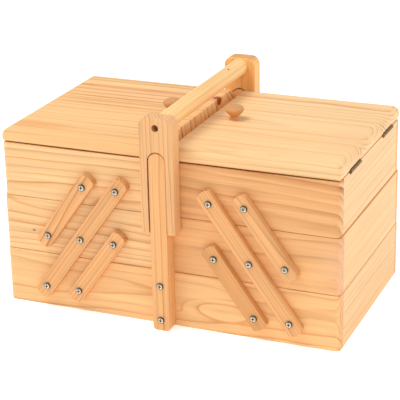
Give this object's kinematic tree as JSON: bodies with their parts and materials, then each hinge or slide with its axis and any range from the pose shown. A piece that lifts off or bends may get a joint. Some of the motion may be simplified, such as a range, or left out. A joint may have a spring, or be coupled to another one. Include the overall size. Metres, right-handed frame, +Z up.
{
  "type": "sewing box",
  "caption": "Three-tier wooden cantilever sewing box: lidded trays on link bars swing out to both sides over a wide base, with a sliding handle on posts.",
  "frame": {"origin": "on the table, under the middle of the base", "axes": "+X to the right along the front, +Y from the front to the rear, +Z up"},
  "size_m": [0.4006, 0.2692, 0.247],
  "materials": {
    "board_pine": "clear satin varnish on pine boards",
    "lid_pine": "clear satin varnish on pine",
    "link_pine": "clear satin varnish on pine",
    "upright_pine": "clear satin varnish on pine, straight fine grain",
    "grip_wood": "smooth clear satin varnish",
    "knob_beech": "turned beech, clear satin varnish",
    "plywood": "unvarnished thin plywood",
    "screw_steel": "zinc-plated steel",
    "pin_steel": "plain steel",
    "hinge_bronze": "antique brass plate"
  },
  "bodies": {
    "base": {"base_front_board": "board_pine", "base_rear_board": "board_pine", "base_left_board": "board_pine", "base_right_board": "board_pine", "base_bottom_panel": "plywood", "base_pivot_screws": "screw_steel", "front_post": "upright_pine", "rear_post": "upright_pine", "post_screws": "screw_steel", "handle_guide_pins": "pin_steel"},
    "handle": {"front_handle_plate": "upright_pine", "rear_handle_plate": "upright_pine", "handle_bar": "grip_wood", "handle_screws": "screw_steel"},
    "right_long_bars": {"right_front_long_bar": "link_pine", "right_rear_long_bar": "link_pine"},
    "right_lower_bars": {"right_front_lower_bar": "link_pine", "right_rear_lower_bar": "link_pine"},
    "right_upper_bars": {"right_front_upper_bar": "link_pine", "right_rear_upper_bar": "link_pine"},
    "right_middle_tray": {"right_middle_front_board": "board_pine", "right_middle_rear_board": "board_pine", "right_middle_inner_board": "board_pine", "right_middle_outer_board": "board_pine", "right_middle_bottom_panel": "plywood", "right_middle_pivot_screws": "screw_steel"},
    "right_upper_tray": {"right_upper_front_board": "board_pine", "right_upper_rear_board": "board_pine", "right_upper_inner_board": "board_pine", "right_upper_outer_board": "board_pine", "right_upper_bottom_panel": "plywood", "right_upper_pivot_screws": "screw_steel", "right_tray_hinge_leaves": "hinge_bronze", "right_hinge_pins": "pin_steel"},
    "right_lid_body": {"right_lid": "lid_pine", "right_knob": "knob_beech", "right_lid_hinge_leaves": "hinge_bronze"},
    "left_long_bars": {"left_front_long_bar": "link_pine", "left_rear_long_bar": "link_pine"},
    "left_lower_bars": {"left_front_lower_bar": "link_pine", "left_rear_lower_bar": "link_pine"},
    "left_upper_bars": {"left_front_upper_bar": "link_pine", "left_rear_upper_bar": "link_pine"},
    "left_middle_tray": {"left_middle_front_board": "board_pine", "left_middle_rear_board": "board_pine", "left_middle_inner_board": "board_pine", "left_middle_outer_board": "board_pine", "left_middle_bottom_panel": "plywood", "left_middle_pivot_screws": "screw_steel"},
    "left_upper_tray": {"left_upper_front_board": "board_pine", "left_upper_rear_board": "board_pine", "left_upper_inner_board": "board_pine", "left_upper_outer_board": "board_pine", "left_upper_bottom_panel": "plywood", "left_upper_pivot_screws": "screw_steel", "left_tray_hinge_leaves": "hinge_bronze", "left_hinge_pins": "pin_steel"},
    "left_lid_body": {"left_lid": "lid_pine", "left_knob": "knob_beech", "left_lid_hinge_leaves": "hinge_bronze"}
  },
  "joints": [
    {"name": "handle_slide", "type": "slide", "parent": "base", "child": "handle", "axis": [0, 0, 1], "range_m": [0, 0.06]},
    {"name": "right_spread", "type": "hinge", "parent": "base", "child": "right_long_bars", "pos_m": [0.146, 0, 0.028], "axis": [0, 1, 0], "range_deg": [0, 71.8]},
    {"name": "right_lower_bars_pivot", "type": "hinge", "parent": "base", "child": "right_lower_bars", "pos_m": [0.1054, 0, 0.028], "axis": [0, 1, 0], "range_deg": [0, 71.8]},
    {"name": "right_middle_tray_pivot", "type": "hinge", "parent": "right_long_bars", "child": "right_middle_tray", "pos_m": [0.1004, 0, 0.091], "axis": [0, 1, 0], "range_deg": [-71.8, 0]},
    {"name": "right_upper_tray_pivot", "type": "hinge", "parent": "right_long_bars", "child": "right_upper_tray", "pos_m": [0.0548, 0, 0.154], "axis": [0, 1, 0], "range_deg": [-71.8, 0]},
    {"name": "right_upper_bars_pivot", "type": "hinge", "parent": "right_middle_tray", "child": "right_upper_bars", "pos_m": [0.141, 0, 0.091], "axis": [0, 1, 0], "range_deg": [0, 71.8]},
    {"name": "right_lid_hinge", "type": "hinge", "parent": "right_upper_tray", "child": "right_lid_body", "pos_m": [0.1981, 0, 0.1934], "axis": [0, 1, 0], "range_deg": [0, 135]},
    {"name": "left_spread", "type": "hinge", "parent": "base", "child": "left_long_bars", "pos_m": [-0.146, 0, 0.028], "axis": [0, -1, 0], "range_deg": [0, 71.8]},
    {"name": "left_lower_bars_pivot", "type": "hinge", "parent": "base", "child": "left_lower_bars", "pos_m": [-0.1054, 0, 0.028], "axis": [0, -1, 0], "range_deg": [0, 71.8]},
    {"name": "left_middle_tray_pivot", "type": "hinge", "parent": "left_long_bars", "child": "left_middle_tray", "pos_m": [-0.1004, 0, 0.091], "axis": [0, -1, 0], "range_deg": [-71.8, 0]},
    {"name": "left_upper_tray_pivot", "type": "hinge", "parent": "left_long_bars", "child": "left_upper_tray", "pos_m": [-0.0548, 0, 0.154], "axis": [0, -1, 0], "range_deg": [-71.8, 0]},
    {"name": "left_upper_bars_pivot", "type": "hinge", "parent": "left_middle_tray", "child": "left_upper_bars", "pos_m": [-0.141, 0, 0.091], "axis": [0, -1, 0], "range_deg": [0, 71.8]},
    {"name": "left_lid_hinge", "type": "hinge", "parent": "left_upper_tray", "child": "left_lid_body", "pos_m": [-0.1981, 0, 0.1934], "axis": [0, -1, 0], "range_deg": [0, 135]}
  ],
  "couplings": [
    {"joint": "right_lower_bars_pivot", "follows": "right_spread", "ratio": 1},
    {"joint": "right_middle_tray_pivot", "follows": "right_spread", "ratio": -1},
    {"joint": "right_upper_tray_pivot", "follows": "right_spread", "ratio": -1},
    {"joint": "right_upper_bars_pivot", "follows": "right_spread", "ratio": 1},
    {"joint": "left_lower_bars_pivot", "follows": "left_spread", "ratio": 1},
    {"joint": "left_middle_tray_pivot", "follows": "left_spread", "ratio": -1},
    {"joint": "left_upper_tray_pivot", "follows": "left_spread", "ratio": -1},
    {"joint": "left_upper_bars_pivot", "follows": "left_spread", "ratio": 1}
  ]
}
